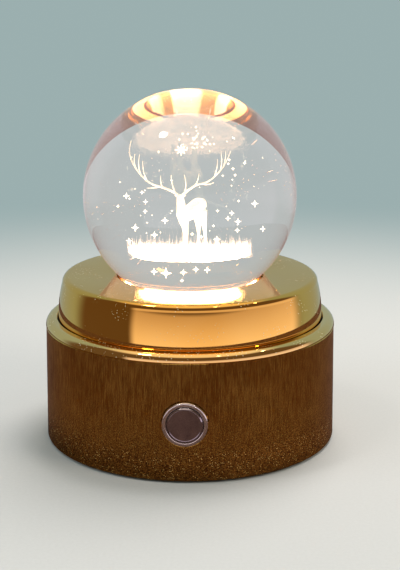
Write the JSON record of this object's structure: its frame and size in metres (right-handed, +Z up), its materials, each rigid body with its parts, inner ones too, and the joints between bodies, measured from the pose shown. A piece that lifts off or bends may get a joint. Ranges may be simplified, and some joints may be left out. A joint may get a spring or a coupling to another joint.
{
  "type": "engraved crystal ball lamp",
  "caption": "Solid engraved crystal ball seated on a round two-tier gold base: a lit, turning upper stage over a drum with a front push button and a rear charging socket.",
  "frame": {"origin": "on the drum's axis, at the table that the rubber feet stand on", "axes": "+Z up along the turning axis, -Y towards the front push button, +Y towards the charging socket, +X to the right of someone who faces the button"},
  "size_m": [0.111, 0.1124, 0.1322],
  "materials": {
    "gold_plate": "polished",
    "bright_chrome": "polished",
    "steel": "satin",
    "crystal": "polished",
    "clear_plastic": "gloss",
    "silicone": "satin",
    "black_plastic": "matte",
    "white_plastic": "satin",
    "acetal": "satin",
    "rubber": "matte",
    "circuit_board": "satin",
    "led": "gloss",
    "cell_wrap": "satin",
    "red_wire": "satin"
  },
  "bodies": {
    "drum": {"drum_shell": "gold_plate", "shoulder_ring": "gold_plate", "deck_plate": "black_plastic", "deck_screw_1": "steel", "deck_screw_2": "steel", "deck_screw_3": "steel", "deck_screw_4": "steel", "lamp_post": "white_plastic", "thrust_washer": "acetal", "retaining_clip": "steel", "led_board": "circuit_board", "led_1": "led", "led_2": "led", "led_3": "led", "led_4": "led", "led_5": "led", "lamp_lens": "clear_plastic", "gear_motor": "steel", "motor_screw_1": "steel", "motor_screw_2": "steel", "bottom_cover": "black_plastic", "cover_screw_1": "steel", "cover_screw_2": "steel", "cover_screw_3": "steel", "cover_screw_4": "steel", "rubber_foot_1": "rubber", "rubber_foot_2": "rubber", "rubber_foot_3": "rubber", "rubber_foot_4": "rubber", "button_bezel": "bright_chrome", "bezel_nut": "steel", "button_spring": "steel", "circuit_board": "circuit_board", "tact_switch": "black_plastic", "driver_chip": "black_plastic", "led_connector": "white_plastic", "power_connector": "white_plastic", "battery_cell": "cell_wrap", "battery_cradle": "black_plastic", "battery_contact_1": "steel", "battery_contact_2": "steel", "charge_board": "circuit_board", "charge_socket": "steel", "led_lead_positive": "red_wire", "led_lead_negative": "black_plastic", "battery_lead_positive": "red_wire", "battery_lead_negative": "black_plastic"},
    "stage": {"stage_shell": "gold_plate", "turntable": "white_plastic", "ring_gear": "acetal", "stage_screw_1": "steel", "stage_screw_2": "steel", "stage_screw_3": "steel", "ball_cup": "gold_plate", "seat_ring": "silicone"},
    "ball": {"crystal_ball": "crystal"},
    "pinion": {"drive_pinion": "acetal", "motor_shaft": "steel"},
    "button": {"button_cap": "bright_chrome"}
  },
  "joints": [
    {"name": "stage_turn", "type": "hinge", "parent": "drum", "child": "stage", "pos_m": [0, 0, 0.048], "axis": [0, 0, 1], "continuous": true},
    {"name": "pinion_spin", "type": "hinge", "parent": "drum", "child": "pinion", "pos_m": [0.03, 0, 0.0455], "axis": [0, 0, 1], "continuous": true},
    {"name": "ball_lift", "type": "slide", "parent": "stage", "child": "ball", "axis": [0, 0, 1], "range_m": [0, 0.05]},
    {"name": "button_press", "type": "slide", "parent": "drum", "child": "button", "axis": [0, 1, 0], "range_m": [0, 0.0012], "stiffness_N_per_m": 500, "springref_m": -0.001, "deforming": ["button_spring"]}
  ],
  "couplings": [
    {"joint": "pinion_spin", "follows": "stage_turn", "ratio": 6}
  ]
}
